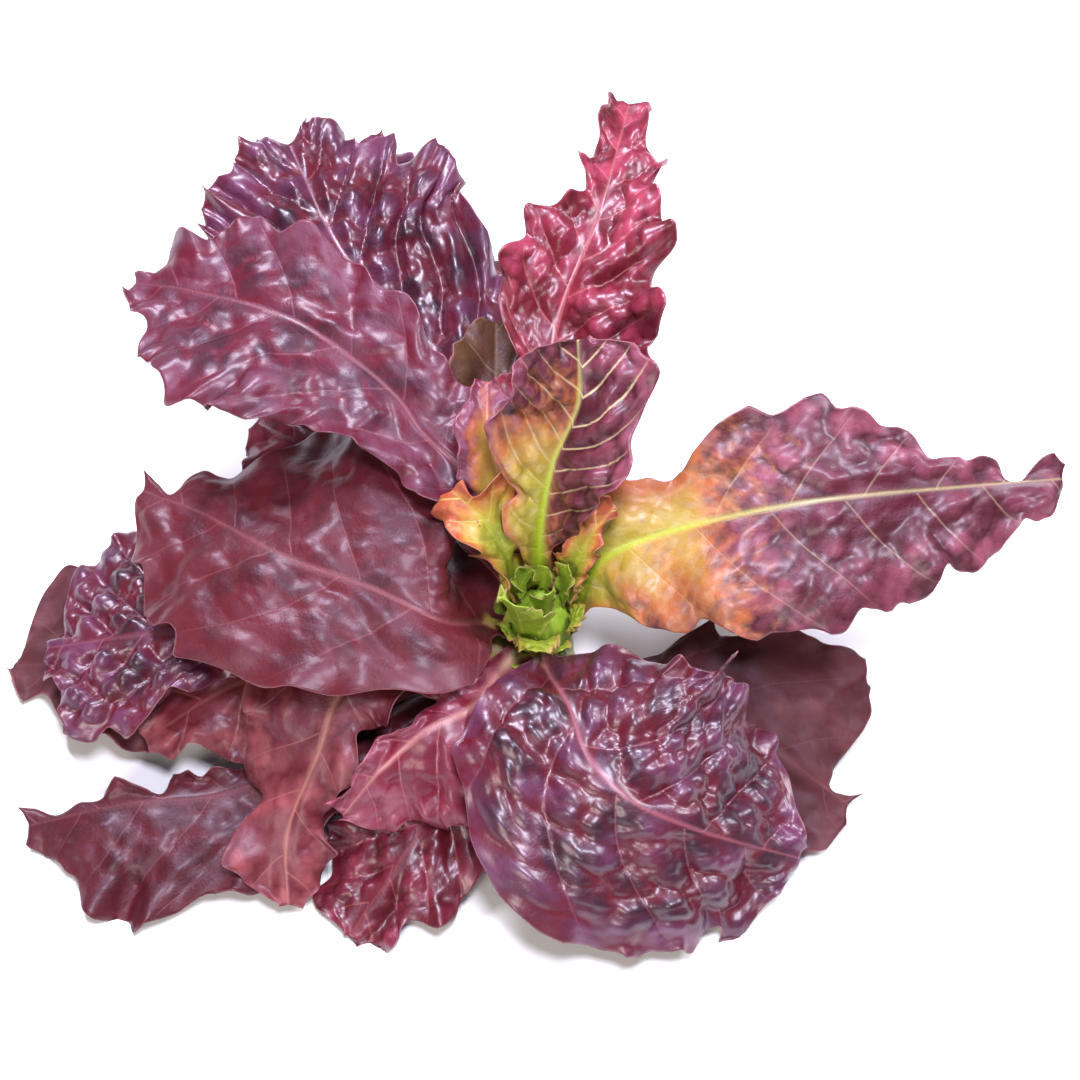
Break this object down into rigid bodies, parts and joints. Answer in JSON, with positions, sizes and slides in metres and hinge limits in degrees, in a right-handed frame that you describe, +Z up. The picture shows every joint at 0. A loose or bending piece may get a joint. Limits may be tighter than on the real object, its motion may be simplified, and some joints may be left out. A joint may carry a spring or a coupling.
{
  "type": "romaine lettuce head",
  "caption": "Opened red romaine lettuce head: long blistered purple leaves with frilled edges on a short cut stem, green at the heart, lying on its cut face.",
  "frame": {"origin": "centre of the stem's flat cut face, on the surface that the head rests on", "axes": "+Z up along the stem, +Y towards the tall leaves at the back, +X towards the long right-hand leaf"},
  "size_m": [0.4522, 0.3924, 0.1785],
  "materials": {
    "purple": "satin",
    "lilac": "satin",
    "maroon": "satin",
    "crimson": "satin",
    "red": "satin",
    "brown": "matte",
    "olive": "matte",
    "two_tone": "satin",
    "green_purple": "satin",
    "green": "satin",
    "stem": "matte"
  },
  "bodies": {
    "root": {"cut_stem": "stem", "heart_leaf_1": "green", "heart_leaf_2": "green", "heart_leaf_3": "green", "heart_leaf_4": "green", "heart_leaf_5": "green", "leaf_back_hidden": "purple", "leaf_back_left_broad": "purple", "leaf_back_low": "brown", "leaf_back_olive": "olive", "leaf_back_tall": "crimson", "leaf_front_curled": "crimson", "leaf_front_hanging": "lilac", "leaf_front_left_folded": "maroon", "leaf_front_left_smooth": "red", "leaf_front_right_broad": "purple", "leaf_inner_back_left": "two_tone", "leaf_inner_frilled": "green", "leaf_inner_orange_edge": "green", "leaf_inner_upright": "green_purple", "leaf_left_back_crimson": "crimson", "leaf_left_back_two_tone": "two_tone", "leaf_left_blistered": "purple", "leaf_left_broad": "maroon", "leaf_left_outermost": "brown", "leaf_left_turned_edge": "red", "leaf_right_long": "green_purple", "leaf_right_low": "brown"}
  },
  "joints": []
}
